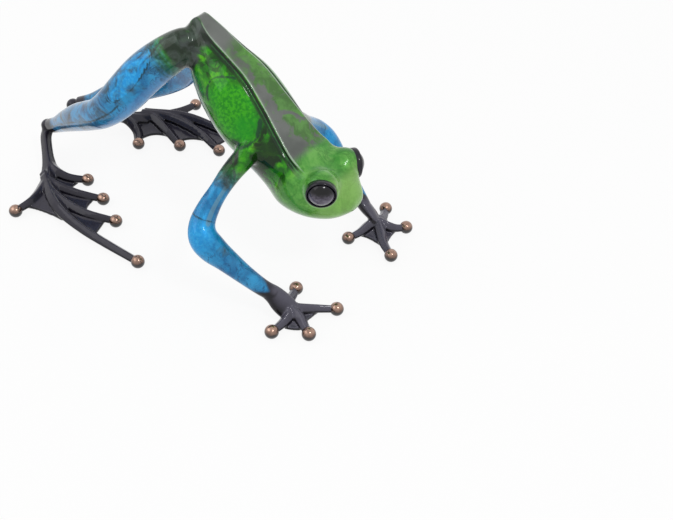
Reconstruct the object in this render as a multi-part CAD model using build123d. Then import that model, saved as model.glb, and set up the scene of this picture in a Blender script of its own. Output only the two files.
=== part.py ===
from build123d import *
import math
import os

# A cast bronze tree frog standing on eighteen small ball tips.
# It looks along -Y, its left side is +X and up is +Z.
# The origin is on the ground, under the middle of the figure.

# Overall sizes
stride_length = 200.0
tip_spread = 127.6
peak_height = 111.0

# Ball tips of the fingers and toes
tip_radius = 3.25
tip_flat_depth = 0.25

# Torso and head casting
torso_width = 35.0
torso_depth = 30.0
torso_wall = 4.0
brow_radius = 8.0
core_plug_radius = 4.0
core_plug_clearance = 0.05

# Limbs, each size at the thickest station
arm_width = 12.4
arm_thickness = 10.8
thigh_depth = 19.2
thigh_width = 17.6
ankle_knob_radius = 3.9
tarsus_width = 6.4
tarsus_height = 5.6

# Hands and feet
palm_width = 11.0
palm_height = 5.6
finger_width = 3.7
finger_height = 3.6
toe_width = 4.2
toe_height = 3.8
web_thickness = 2.2

# Eyes
eye_radius = 5.0
eye_dome_height = 2.6
eye_rim_width = 1.9
eye_rim_height = 1.0
eye_socket_depth = 3.0
eye_clearance = 0.05

# Locating dowels at the welded joints
dowel_radius = 1.2
dowel_length = 7.0
dowel_clearance = 0.05

# Tools and bounding blocks run past the form by this much
overrun = 60.0

half_stride = stride_length / 2
half_spread = tip_spread / 2
tip_height = tip_radius - tip_flat_depth

# Tables of places hold shares of the half spread, the half stride and,
# where they have three values, the peak height, for the left side.
# The right side mirrors them. The figure isn't quite even: a sway
# adds to X on both sides, and to Y and Z on the left but from them
# on the right. Digits run from the innermost to the outermost.
finger_tip_shares = [(0.351, -0.690), (0.365, -0.920), (0.705, -0.889), (0.824, -0.740)]
finger_sway_shares = [(0.005, 0.004), (0.022, 0.000), (0.039, 0.022), (0.019, 0.033)]
toe_tip_shares = [(0.312, 0.630), (0.461, 0.454), (0.605, 0.274), (0.846, 0.009), (1.0, 0.681)]
toe_sway_shares = [
    (-0.033, 0.008),
    (0.013, 0.002),
    (0.019, -0.010),
    (0.017, 0.010),
    (0.033, -0.035),
]
# Bends and web edges of a digit take this part of its tip's sway
bend_sway_share = 0.6

# The ankle knob, the rearmost point of the figure
ankle_shares = (0.146, 0.972, 0.163)
ankle_sway_shares = (-0.060, 0.0, 0.014)

# Middle of the figure, measured from the hips
rear_end = ankle_shares[1] * half_stride + ankle_knob_radius
front_end = finger_tip_shares[1][1] * half_stride - tip_radius
middle_y = (rear_end + front_end) / 2
middle_x = toe_sway_shares[4][0] * half_spread

# Stations down the back, from the hip peak to the snout: the sway and
# the place of the back, the lean of the section in degrees, the half
# widths of back, flank and belly and the crown of the back as shares of
# the torso width, and the depths of flank and belly as shares of the
# torso depth.
torso_station_shares = [
    (-0.010, 0.012, 0.991, 44, 0.070, 0.110, 0.070, 0.010, 0.11, 0.26),
    (-0.014, -0.065, 0.943, 42, 0.135, 0.250, 0.150, -0.010, 0.25, 0.55),
    (-0.024, -0.165, 0.885, 40, 0.170, 0.380, 0.220, -0.022, 0.37, 0.85),
    (-0.031, -0.285, 0.824, 40, 0.210, 0.470, 0.257, -0.028, 0.43, 1.04),
    (-0.034, -0.395, 0.730, 40, 0.250, 0.500, 0.257, -0.026, 0.43, 1.04),
    (-0.036, -0.490, 0.646, 38, 0.305, 0.470, 0.235, -0.018, 0.38, 0.90),
    (-0.036, -0.570, 0.588, 32, 0.345, 0.415, 0.240, 0.010, 0.31, 0.76),
    (-0.038, -0.650, 0.568, 26, 0.360, 0.490, 0.300, 0.030, 0.31, 0.76),
    (-0.038, -0.738, 0.534, 20, 0.330, 0.480, 0.290, 0.034, 0.28, 0.66),
    (-0.030, -0.812, 0.494, 14, 0.220, 0.330, 0.210, 0.045, 0.20, 0.45),
    (-0.022, -0.866, 0.458, 8, 0.080, 0.130, 0.080, 0.020, 0.08, 0.17),
]
# The stretch of the same list that is hollow inside
hollow_station_shares = torso_station_shares[2:7]
# Fall of the keel below the belly, as a share of the belly's half width
keel_share = 0.25

# Limb stations: a place, then two cross sizes as shares of the limb's
# thickest ones. The sways are those of its root, middle and end.
arm_station_shares = [
    (0.267, -0.385, 0.572, 0.80, 0.85),
    (0.402, -0.365, 0.519, 0.72, 0.74),
    (0.512, -0.355, 0.469, 0.67, 0.66),
    (0.610, -0.350, 0.422, 0.80, 0.76),
    (0.692, -0.357, 0.377, 0.93, 0.90),
    (0.731, -0.383, 0.335, 1.00, 1.00),
    (0.732, -0.422, 0.292, 0.98, 1.00),
    (0.710, -0.475, 0.247, 0.88, 0.92),
    (0.678, -0.553, 0.189, 0.72, 0.80),
    (0.643, -0.626, 0.137, 0.63, 0.70),
    (0.614, -0.676, 0.106, 0.60, 0.62),
]
arm_sway_shares = [(-0.036, 0.0, 0.0), (-0.056, 0.003, 0.007), (0.006, 0.015, 0.0)]
# Where the arm roots sit, as a share of the torso width
shoulder_width_share = 0.4867
leg_station_shares = [
    (0.075, 0.000, 0.890, 0.61, 0.71),
    (0.120, 0.051, 0.860, 0.86, 0.86),
    (0.194, 0.118, 0.802, 0.97, 0.95),
    (0.264, 0.190, 0.726, 1.00, 1.00),
    (0.330, 0.256, 0.638, 0.97, 0.98),
    (0.372, 0.323, 0.556, 0.86, 0.90),
    (0.374, 0.408, 0.484, 0.72, 0.82),
    (0.334, 0.507, 0.428, 0.70, 0.82),
    (0.288, 0.610, 0.372, 0.68, 0.78),
    (0.236, 0.733, 0.298, 0.56, 0.64),
    (0.186, 0.846, 0.226, 0.41, 0.49),
    (0.157, 0.930, 0.182, 0.35, 0.41),
]
leg_sway_shares = [(-0.020, 0.0, 0.0), (-0.060, -0.002, -0.019), (-0.062, -0.002, 0.014)]
tarsus_station_shares = [
    (0.146, 0.972, 0.155, 1.00, 1.00),
    (0.225, 0.955, 0.128, 0.84, 0.95),
    (0.350, 0.890, 0.098, 0.72, 0.90),
    (0.460, 0.822, 0.072, 0.84, 0.88),
    (0.590, 0.755, 0.048, 1.00, 0.80),
]
tarsus_sway_shares = [(-0.060, 0.0, 0.014), (-0.030, -0.004, 0.005), (0.008, -0.010, 0.0)]
palm_station_shares = [
    (0.643, -0.626, 0.137, 0.50, 0.85),
    (0.614, -0.676, 0.106, 0.64, 1.10),
    (0.610, -0.725, 0.074, 0.80, 1.05),
    (0.604, -0.775, 0.045, 1.00, 0.80),
    (0.597, -0.820, 0.031, 0.55, 0.50),
]
palm_sway_shares = [(-0.006, 0.013, 0.001), (0.011, 0.016, 0.0), (0.018, 0.016, 0.0)]

# Roots and bends of the fingers and toes, and edges of their webs
finger_root_shares = [(0.591, -0.720), (0.551, -0.780), (0.610, -0.780), (0.630, -0.760)]
finger_bend_shares = [(0.455, -0.712), (0.448, -0.845), (0.645, -0.842), (0.709, -0.760)]
finger_notch_shares = [(0.461, -0.752), (0.581, -0.846), (0.694, -0.822)]
toe_root_shares = [(0.500, 0.800), (0.580, 0.755), (0.630, 0.720), (0.668, 0.720), (0.610, 0.760)]
toe_bend_shares = [(0.410, 0.700), (0.536, 0.585), (0.669, 0.430), (0.812, 0.400), (0.800, 0.712)]
toe_notch_shares = [(0.474, 0.623), (0.608, 0.444), (0.773, 0.292), (0.825, 0.570)]
# How far past the bends of its two digits the edge of a web begins
web_reach_share = 0.30

# Heights and swellings of a digit at its root and bend, as shares of
# its height and sizes at the tip
root_height_share = 1.45
bend_height_share = 1.15
root_swell_share = 1.5
bend_swell_share = 1.15

# Brows and eyes, their first shares being of the torso width
brow_shares = (0.335, -0.726, 0.527)
eye_shares = (0.448, -0.756, 0.513)
brow_sway_shares = (-0.023, 0.012, -0.007)
core_plug_shares = (-0.285, 0.640)
core_plug_lean = 130

sides = {"left": 1, "right": -1}


def spot(side, shares, sway_shares=(0.0, 0.0, 0.0), width=half_spread):
    """A place from its shares of a width, the stride and the height, and its sway."""
    x, y, z = shares[:3]
    sway_x, sway_y, sway_z = sway_shares
    hand = sides[side]
    return Vector(
        hand * x * width + sway_x * half_spread - middle_x,
        (y + hand * sway_y) * half_stride - middle_y,
        (z + hand * sway_z) * peak_height,
    )


def ground_spot(side, shares, sway_shares, height):
    """A place over the ground at a height in millimetres."""
    flat = spot(side, (*shares, 0.0), (*sway_shares, 0.0))
    return Vector(flat.X, flat.Y, height)


def blend_sways(sways, count):
    """The sway of each station, between those of the root, middle and end."""
    blended = []
    for i in range(count):
        place = 2 * i / (count - 1)
        first, part = min(int(place), 1), place - min(int(place), 1)
        pairs = zip(sways[first], sways[first + 1])
        blended.append(tuple(low + part * (high - low) for low, high in pairs))
    return blended


def station_points(side, stations, sways):
    """The rail of a limb, one point for each station."""
    blended = blend_sways(sways, len(stations))
    return [spot(side, station, sway) for station, sway in zip(stations, blended)]


def arm_points(side):
    """The rail of an arm, its root kept at the side of the torso."""
    points = station_points(side, arm_station_shares, arm_sway_shares)
    shift = shoulder_width_share * torso_width - arm_station_shares[0][0] * half_spread
    last = len(points) - 1
    return [point + Vector(sides[side] * shift * (last - i) / last, 0, 0) for i, point in enumerate(points)]


def rail_directions(points):
    """The running direction at each point of a rail."""
    last = len(points) - 1
    return [(points[min(i + 1, last)] - points[max(i - 1, 0)]).normalized() for i in range(last + 1)]


def limb(points, widths, heights, up):
    """A loft through ellipses square to a rail, their heights held towards up."""
    sections = []
    for point, way, width, height in zip(points, rail_directions(points), widths, heights):
        across = way.cross(up).normalized()
        plane = Plane(origin=point, x_dir=across, z_dir=way)
        sections.append(plane * Ellipse(width / 2, height / 2))
    return Part() + loft(sections)


def bend_normal(points):
    """The direction square to a bent limb, from its ends and its middle."""
    middle = points[len(points) // 2]
    return (middle - points[0]).cross(points[-1] - middle).normalized()


def torso_section(station, trim):
    """One section of the body, drawn in by a wall thickness."""
    sway, y, z, lean, back, flank, belly, crown, flank_depth, belly_depth = station
    plane = Plane(
        origin=spot("left", (sway, y, z)),
        x_dir=(1, 0, 0),
        z_dir=(0, -math.cos(math.radians(lean)), -math.sin(math.radians(lean))),
    )
    half_back = back * torso_width - trim / 2
    half_flank = flank * torso_width - trim
    half_belly = belly * torso_width - trim / 2
    top = -trim
    middle = top + crown * torso_width
    side_level = -flank_depth * torso_depth
    bottom = -belly_depth * torso_depth + trim
    keel = bottom - half_belly * keel_share
    outline = [
        ThreePointArc((-half_back, top), (0, middle), (half_back, top)),
        ThreePointArc((half_back, top), (half_flank, side_level), (half_belly, bottom)),
        ThreePointArc((half_belly, bottom), (0, keel), (-half_belly, bottom)),
        ThreePointArc((-half_belly, bottom), (-half_flank, side_level), (-half_back, top)),
    ]
    return plane * make_face(outline)


def torso_form():
    """The outer form of the torso, the head and the two brows."""
    form = Part() + loft([torso_section(station, 0) for station in torso_station_shares])
    for side in sides:
        form += Pos(spot(side, brow_shares, brow_sway_shares, torso_width)) * Sphere(brow_radius)
    return form


def torso_hollow():
    """The space that the casting core leaves inside the torso."""
    return Part() + loft([torso_section(station, torso_wall) for station in hollow_station_shares])


def arm_form(side):
    """Upper arm, elbow and forearm, from inside the shoulder to the wrist."""
    points = arm_points(side)
    widths = [station[3] * arm_width for station in arm_station_shares]
    thicknesses = [station[4] * arm_thickness for station in arm_station_shares]
    return limb(points, widths, thicknesses, bend_normal(points))


def leg_form(side):
    """Thigh, knee and shank, from inside the hip to the ankle."""
    points = station_points(side, leg_station_shares, leg_sway_shares)
    normal = bend_normal(points)
    depths = [station[3] * thigh_depth for station in leg_station_shares]
    widths = [station[4] * thigh_width for station in leg_station_shares]
    sections = []
    for point, way, depth, width in zip(points, rail_directions(points), depths, widths):
        plane = Plane(origin=point, x_dir=normal, z_dir=way)
        sections.append(plane * Ellipse(depth / 2, width / 2))
    hip = spot(side, torso_station_shares[0][:3])
    middle = spot("left", (torso_station_shares[0][0], 0.0, 0.0))
    block = Box(2 * overrun, 4 * overrun, 4 * overrun)
    half_space = Pos(middle.X + sides[side] * overrun, hip.Y, hip.Z) * block
    return (Part() + loft(sections)) & half_space


def digit(side, root, bend, tip, sway, width, height):
    """One finger or toe, from its root over its bend to its ball tip."""
    bend_sway = tuple(bend_sway_share * value for value in sway)
    points = [
        ground_spot(side, root, bend_sway, root_height_share * tip_height),
        ground_spot(side, bend, bend_sway, bend_height_share * tip_height),
        ground_spot(side, tip, sway, tip_height),
    ]
    widths = [root_swell_share * width, bend_swell_share * width, width]
    heights = [bend_swell_share * height, height, height]
    return limb(points, widths, heights, Vector(0, 0, 1))


def web(side, root, notch, first, second):
    """The thin skin between two digits, with a hollow free edge."""
    base = tip_height - web_thickness / 2

    def on_digit(bend, tip, sway):
        shares = tuple(bend[i] + web_reach_share * (tip[i] - bend[i]) for i in range(2))
        return ground_spot(side, shares, sway, base)

    sways = [tuple(bend_sway_share * value for value in digit_set[2]) for digit_set in (first, second)]
    between = tuple((sways[0][i] + sways[1][i]) / 2 for i in range(2))
    start = ground_spot(side, root, between, base)
    first_bend = ground_spot(side, first[0], sways[0], base)
    second_bend = ground_spot(side, second[0], sways[1], base)
    first_edge = on_digit(first[0], first[1], sways[0])
    second_edge = on_digit(second[0], second[1], sways[1])
    outline = [
        Line(start, first_bend),
        Line(first_bend, first_edge),
        ThreePointArc(first_edge, ground_spot(side, notch, between, base), second_edge),
        Line(second_edge, second_bend),
        Line(second_bend, start),
    ]
    return Part() + extrude(make_face(outline), amount=web_thickness, dir=(0, 0, 1))


def tips(side, places, sways):
    """Ball tips, each with a small flat that stands on the ground."""
    above_ground = Pos(0, 0, overrun) * Box(4 * overrun, 4 * overrun, 2 * overrun)
    balls = []
    for place, sway in zip(places, sways):
        ball = Pos(ground_spot(side, place, sway, tip_height)) * Sphere(tip_radius)
        balls.append(ball & above_ground)
    return balls


def digits_and_webs(side, roots, bends, places, sways, notches, web_root, width, height):
    """All digits of a hand or foot, and a web for each pair of neighbours."""
    pieces = []
    for root, bend, tip, sway in zip(roots, bends, places, sways):
        pieces.append(digit(side, root, bend, tip, sway, width, height))
    sets = list(zip(bends, places, sways))
    for notch, first, second in zip(notches, sets, sets[1:]):
        pieces.append(web(side, web_root, notch, first, second))
    return pieces


def hand_form(side):
    """Palm, four fingers and three webs."""
    wrist_points = arm_points(side)
    points = station_points(side, palm_station_shares, palm_sway_shares)
    widths = [station[3] * palm_width for station in palm_station_shares]
    heights = [station[4] * palm_height for station in palm_station_shares]
    palm = limb(points, widths, heights, bend_normal(wrist_points))
    pieces = digits_and_webs(
        side,
        finger_root_shares,
        finger_bend_shares,
        finger_tip_shares,
        finger_sway_shares,
        finger_notch_shares,
        palm_station_shares[3][:2],
        finger_width,
        finger_height,
    )
    return palm.fuse(*pieces)


def foot_form(side):
    """Ankle knob, tarsus, five toes and their webs."""
    points = station_points(side, tarsus_station_shares, tarsus_sway_shares)
    widths = [station[3] * tarsus_width for station in tarsus_station_shares]
    heights = [station[4] * tarsus_height for station in tarsus_station_shares]
    tarsus = limb(points, widths, heights, Vector(0, 0, 1))
    knob = Pos(spot(side, ankle_shares, ankle_sway_shares)) * Sphere(ankle_knob_radius)
    pieces = digits_and_webs(
        side,
        toe_root_shares,
        toe_bend_shares,
        toe_tip_shares,
        toe_sway_shares,
        toe_notch_shares,
        toe_root_shares[2],
        toe_width,
        toe_height,
    )
    return tarsus.fuse(knob, *pieces)


def dowel(point, way, radius, length):
    """A round pin centred on a joint."""
    return Plane(origin=point, z_dir=way) * Cylinder(radius, length)


def joint_places(side):
    """Middle and direction of the four dowelled joints of one side."""
    arm = arm_points(side)
    leg = station_points(side, leg_station_shares, leg_sway_shares)
    return {
        "shoulder": (arm[1], (arm[2] - arm[0]).normalized()),
        "wrist": (arm[-1], (arm[-1] - arm[-2]).normalized()),
        "hip": (leg[1], (leg[2] - leg[0]).normalized()),
        "ankle": (leg[-1], (leg[-1] - leg[-2]).normalized()),
    }


def eye_plane(side):
    """The plane of an eye, looking out of the brow."""
    centre = spot(side, eye_shares, brow_sway_shares, torso_width)
    brow = spot(side, brow_shares, brow_sway_shares, torso_width)
    return Plane(origin=centre, z_dir=(centre - brow).normalized())


def eye_socket(side):
    """The round seat that holds the eye and its rim."""
    radius = eye_radius + eye_rim_width + eye_clearance
    cutter = Pos(0, 0, overrun / 2 - eye_socket_depth) * Cylinder(radius, overrun)
    return eye_plane(side) * cutter


def eye_form(side):
    """A cabochon: a round seat with a low dome."""
    dome_radius = (eye_radius**2 + eye_dome_height**2) / (2 * eye_dome_height)
    ball = Pos(0, 0, eye_dome_height - dome_radius) * Sphere(dome_radius)
    dome = ball & (Pos(0, 0, overrun / 2) * Box(overrun, overrun, overrun))
    seat = Pos(0, 0, -eye_socket_depth / 2) * Cylinder(eye_radius, eye_socket_depth)
    return eye_plane(side) * (seat + dome)


def eye_rim_form(side):
    """A ring around the eye, proud of the brow."""
    height = eye_socket_depth + eye_rim_height
    bore = Cylinder(eye_radius + eye_clearance, height)
    ring = Cylinder(eye_radius + eye_rim_width, height) - bore
    return eye_plane(side) * (Pos(0, 0, height / 2 - eye_socket_depth) * ring)


def plug_cutter(radius):
    """A round bore through the belly wall only."""
    y, z = core_plug_shares
    lean = math.radians(core_plug_lean)
    plane = Plane(
        origin=spot("left", (torso_station_shares[3][0], y, z)),
        z_dir=(0, math.sin(lean), math.cos(lean)),
    )
    return plane * (Pos(0, 0, overrun / 2) * Cylinder(radius, overrun))


def save(node, shape):
    """Write one sub-part under its node name."""
    export_step(shape, f"parts/{node}.step")
    print(node, "volume", round(sum(solid.volume for solid in shape.solids()), 1))


os.makedirs("parts", exist_ok=True)

outer = torso_form()
shell = outer - torso_hollow()
plug = shell & plug_cutter(core_plug_radius)
torso = shell - plug_cutter(core_plug_radius + core_plug_clearance)

dowels = {"shoulder": [], "wrist": [], "hip": [], "ankle": []}
for side in sides:
    holes = Part()
    for joint, (point, way) in joint_places(side).items():
        dowels[joint].append(dowel(point, way, dowel_radius, dowel_length))
        holes += dowel(point, way, dowel_radius + dowel_clearance, dowel_length)
    finger_tips = tips(side, finger_tip_shares, finger_sway_shares)
    toe_tips = tips(side, toe_tip_shares, toe_sway_shares)
    whole_arm = arm_form(side)
    whole_foot = foot_form(side)
    arm = whole_arm - outer - holes
    hand = hand_form(side) - whole_arm - holes
    leg = leg_form(side) - outer - whole_foot - holes
    foot = whole_foot - holes
    for ball in finger_tips:
        hand -= ball
    for ball in toe_tips:
        foot -= ball
    torso -= holes
    torso -= eye_socket(side)
    save(f"{side}_arm", arm)
    save(f"{side}_hand", hand)
    save(f"{side}_hind_leg", leg)
    save(f"{side}_foot", foot)
    save(f"{side}_finger_tips", Compound(children=finger_tips))
    save(f"{side}_toe_tips", Compound(children=toe_tips))
    save(f"{side}_eye", eye_form(side))
    save(f"{side}_eye_rim", eye_rim_form(side))
save("torso_casting", torso)
save("core_plug", plug)
for joint, pins in dowels.items():
    save(f"{joint}_dowels", Compound(children=pins))
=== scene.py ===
# %% [markdown]
# # A patinated bronze tree frog
# The figure is a hollow bronze casting in mid stride. It stands on
# eighteen small balls, one at the end of each finger and toe. The metal
# is coloured by heat and chemicals: green on the body, blue on the
# limbs, black on hands and feet, under a clear glossy lacquer.
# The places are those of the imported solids. The visible skin is laid
# over them as one sculpted form, which is then cut where the sections
# of the casting meet.

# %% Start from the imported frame
import math

import bmesh
import bpy
import numpy as np
from mathutils import Matrix, Vector


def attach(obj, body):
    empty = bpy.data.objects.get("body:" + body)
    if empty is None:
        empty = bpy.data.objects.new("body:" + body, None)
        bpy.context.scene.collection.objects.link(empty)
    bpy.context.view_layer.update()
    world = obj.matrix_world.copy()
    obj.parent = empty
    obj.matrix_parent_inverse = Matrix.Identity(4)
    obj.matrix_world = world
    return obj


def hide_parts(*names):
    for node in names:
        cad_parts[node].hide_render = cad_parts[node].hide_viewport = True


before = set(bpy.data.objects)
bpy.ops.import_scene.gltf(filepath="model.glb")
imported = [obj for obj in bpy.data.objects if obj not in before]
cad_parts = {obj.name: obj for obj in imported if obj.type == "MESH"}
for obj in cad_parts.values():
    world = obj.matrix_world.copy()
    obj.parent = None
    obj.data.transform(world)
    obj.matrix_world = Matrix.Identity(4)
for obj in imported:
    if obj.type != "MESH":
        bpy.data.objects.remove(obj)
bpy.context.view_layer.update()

# %% [markdown]
# ## The camera
# The picture was taken from the frog's right front, from above. The
# figure stands in the upper left of the picture, so the camera looks past
# it, which also keeps the slight widening of the near hand.


# %% Camera
def add(name, data):
    """A new object in the scene."""
    made = bpy.data.objects.new(name, data)
    bpy.context.scene.collection.objects.link(made)
    return made


camera = add("camera", bpy.data.cameras.new("camera"))
camera.location = (-0.3126, -0.2675, 0.3301)
camera.rotation_euler = [math.radians(a) for a in (48.40, -3.41, -55.78)]
camera.data.sensor_width = 36
camera.data.lens = 55.27
camera.data.clip_start = 0.01
bpy.context.scene.camera = camera
bpy.context.scene.view_settings.view_transform = "Standard"
print("camera is", round(camera.location.length, 3), "m from the middle of the footprint")

# %% [markdown]
# ## Places on the figure
# Every place is a share of three sizes of the figure: half its spread
# from side to side, half its stride and its height. The two sides aren't
# quite even. A small sway is added on the left and taken from the right.

# %% Sizes and places
MM = 0.001
half_spread = 63.8 * MM
half_stride = 100 * MM
peak_height = 111 * MM
# The middle of the figure, on the ground, measured from the hips
middle = Vector((2.105 * MM, 2.925 * MM, 0))
torso_width = 35 * MM
torso_depth = 30 * MM
tip_radius = 3.25 * MM
tip_height = 3.0 * MM
sides = {"left": 1, "right": -1}


def spot(side, shares, sway=(0, 0, 0), width=half_spread):
    """A place from its shares of the sizes, for one side."""
    hand = sides[side]
    x, y, z = shares[:3]
    return Vector(
        (
            hand * x * width + sway[0] * half_spread - middle.x,
            (y + hand * sway[1]) * half_stride - middle.y,
            (z + hand * sway[2]) * peak_height,
        )
    )


def through(rows, steps):
    """A smooth run through rows of numbers, with steps between each pair."""
    rows = np.array(rows, float)
    padded = np.vstack([2 * rows[0] - rows[1], rows, 2 * rows[-1] - rows[-2]])
    run = []
    for i in range(len(rows) - 1):
        a, b, c, d = padded[i : i + 4]
        for t in np.arange(steps) / steps:
            run.append(b + 0.5 * t * (c - a + t * (2 * a - 5 * b + 4 * c - d + t * (3 * (b - c) + d - a))))
    run.append(rows[-1])
    return np.array(run)


def blend_sways(sways, count):
    """The sway of each station, between those of root, middle and end."""
    places = np.linspace(0, 2, count)
    return np.array([np.interp(places, (0, 1, 2), column) for column in zip(*sways)]).T


print("one share of the stride is", half_stride, "m")

# %% [markdown]
# ## Small tools
# Soft steps and bumps shape the carving and the colours alike. Numbers
# are read from a mesh, or left on its points, in one call each.


# %% Soft steps and mesh data
def ramp(value, low, high):
    """A smooth step from 0 at low to 1 at high."""
    t = np.clip((value - low) / (high - low), 0, 1)
    return t * t * (3 - 2 * t)


def bell(value, centre, width):
    """A soft bump around a value."""
    return np.exp(-(((value - centre) / width) ** 2))


def lengths(rows):
    """The length of each row."""
    return np.linalg.norm(rows, axis=1)


def dots(a, b):
    """The dot product of each pair of rows."""
    return np.einsum("ij,ij->i", a, b)


def read(items, field, width=1, kind=float):
    """Numbers of a mesh, one row for each of its items."""
    found = np.empty(len(items) * width, kind)
    items.foreach_get(field, found)
    return found.reshape(-1, width) if width > 1 else found


def leave(mesh, name, values, kind="FLOAT", field="value"):
    """Leaves a number or a direction on each point."""
    mesh.attributes.new(name, kind, "POINT").data.foreach_set(field, values)


def smooth(mesh):
    """Shades a mesh so that its faces don't show."""
    mesh.polygons.foreach_set("use_smooth", np.ones(len(mesh.polygons), bool))


print("a soft step is at", ramp(0.5, 0, 1), "half way")

# %% [markdown]
# ## A skin over rings
# A limb is drawn as a row of rings. A circle is pulled out ring by ring,
# and each new ring is laid on its own section. That keeps every quad in
# a clean grid, and it closes the ends with one face each.


# %% Loft helper
def loft(name, sections):
    """A closed skin over rings of points, each ring pulled out of the last."""
    bm = bmesh.new()
    ring = bmesh.ops.create_circle(bm, radius=1, segments=len(sections[0]))["verts"]
    edges = bm.edges[:]
    for vert, point in zip(ring, sections[0]):
        vert.co = point
    for section in sections[1:]:
        pulled = bmesh.ops.extrude_edge_only(bm, edges=edges)["geom"]
        fresh = {g for g in pulled if isinstance(g, bmesh.types.BMVert)}
        edges = [g for g in pulled if isinstance(g, bmesh.types.BMEdge) and set(g.verts) <= fresh]
        ring = [next(e.other_vert(v) for e in v.link_edges if e.other_vert(v) in fresh) for v in ring]
        for vert, point in zip(ring, section):
            vert.co = point
    bmesh.ops.holes_fill(bm, edges=[e for e in bm.edges if e.is_boundary])
    return close(name, bm)


def close(name, bm):
    """Turns a bmesh into an object with its faces outwards."""
    bmesh.ops.recalc_face_normals(bm, faces=bm.faces)
    mesh = bpy.data.meshes.new(name)
    bm.to_mesh(mesh)
    bm.free()
    return add(name, mesh)


def ball_form(name, place, radius, around, high):
    """A sphere at a place."""
    bm = bmesh.new()
    bmesh.ops.create_uvsphere(bm, u_segments=around, v_segments=high, radius=radius)
    bmesh.ops.translate(bm, verts=bm.verts, vec=place)
    return close(name, bm)


# %% [markdown]
# ## The body
# The body is a loft of stations from the hip peak to the snout. Each
# section has a flat back between two crisp ridges, a full flank and a
# narrow belly. The three arcs of a section meet at the ridge and at the
# edge of the belly, so the ridge stays sharp until it is softened.

# %% Body stations
# Sway, along, up, lean, half back, half flank, half belly, crown, and the
# depths of flank and belly
body_stations = [
    (-0.010, 0.012, 0.991, 44, 0.070, 0.110, 0.070, 0.010, 0.11, 0.26),
    (-0.014, -0.065, 0.943, 42, 0.135, 0.250, 0.150, -0.010, 0.25, 0.55),
    (-0.012, -0.165, 0.889, 40, 0.150, 0.380, 0.220, -0.020, 0.37, 0.85),
    (-0.014, -0.285, 0.832, 40, 0.182, 0.475, 0.257, -0.022, 0.44, 1.05),
    (-0.014, -0.395, 0.741, 40, 0.222, 0.510, 0.262, -0.020, 0.45, 1.06),
    (-0.016, -0.490, 0.658, 38, 0.275, 0.480, 0.245, -0.012, 0.40, 0.96),
    (-0.022, -0.570, 0.600, 32, 0.320, 0.425, 0.260, 0.010, 0.34, 0.92),
    (-0.034, -0.650, 0.572, 26, 0.345, 0.500, 0.320, 0.030, 0.34, 0.90),
    (-0.038, -0.738, 0.534, 20, 0.330, 0.490, 0.305, 0.034, 0.30, 0.72),
    (-0.030, -0.812, 0.494, 14, 0.220, 0.335, 0.220, 0.045, 0.21, 0.49),
    (-0.022, -0.866, 0.458, 8, 0.080, 0.130, 0.080, 0.020, 0.08, 0.17),
]
keel_share = 0.25
body_steps = 6


def arc(a, b, c, count):
    """Points on the arc from a over b to c, without the last one."""
    a, b, c = (complex(*p) for p in (a, b, c))
    w = (c - a) / (b - a)
    if abs(w.imag) < 1e-6:
        return [(p.real, p.imag) for p in a + (c - a) * np.arange(count) / count]
    centre = (b - a) * (w - abs(w) ** 2) / (2j * w.imag) + a
    start, mid, end = (np.angle((p - centre) / (a - centre)) for p in (a, b, c))
    turn = end % (2 * np.pi)
    if mid % (2 * np.pi) > turn:
        turn -= 2 * np.pi
    points = centre + (a - centre) * np.exp(1j * turn * np.arange(count) / count)
    return [(p.real, p.imag) for p in points]


def body_frame(row):
    """Middle, across and up of one body section."""
    sway, y, z, lean = row[:4]
    angle = math.radians(lean)
    return spot("left", (sway, y, z)), Vector((1, 0, 0)), Vector((0, -math.sin(angle), math.cos(angle)))


def body_section(row):
    """One ring of the body: back, flank, belly and the other flank."""
    centre, across, up = body_frame(row)
    back, flank, belly, crown = (v * torso_width for v in row[4:8])
    level, bottom = (-v * torso_depth for v in row[8:10])
    keel = bottom - belly * keel_share
    outline = arc((back, 0), (0, crown + 1e-6), (-back, 0), 12)
    outline += arc((-back, 0), (-flank, level), (-belly, bottom), 20)
    outline += arc((-belly, bottom), (0, keel), (belly, bottom), 10)
    outline += arc((belly, bottom), (flank, level), (back, 0), 20)
    return [centre + across * x + up * h for x, h in outline]


body_rows = through(body_stations, body_steps)
forms = [loft("body_form", [body_section(row) for row in body_rows])]
print("body form has", len(forms[0].data.vertices), "points")

# %% [markdown]
# ## Brow domes
# Each eye sits on the side of a dome that stands above the flat head.
# The domes are spheres sunk into the head; the joint is softened later.

# %% Brows
brow_radius = 7.8 * MM
brow_sway = (-0.023, 0.012, -0.007)
eye_aim = (0.80, -0.56, -0.04)
brows = {side: spot(side, (0.310, -0.724, 0.520), brow_sway, torso_width) for side in sides}
eyes = {side: spot(side, (0.432, -0.752, 0.514), brow_sway, torso_width) for side in sides}
forms += [ball_form(f"{side}_brow_form", brows[side], brow_radius, 40, 24) for side in sides]
looks = {side: Vector((hand * eye_aim[0], *eye_aim[1:])).normalized() for side, hand in sides.items()}
print("eyes look along", {side: tuple(round(v, 2) for v in look) for side, look in looks.items()})

# %% [markdown]
# ## Arms and legs
# A limb is a rail of stations with two cross sizes each. The section is
# an ellipse held square to the rail.

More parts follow.
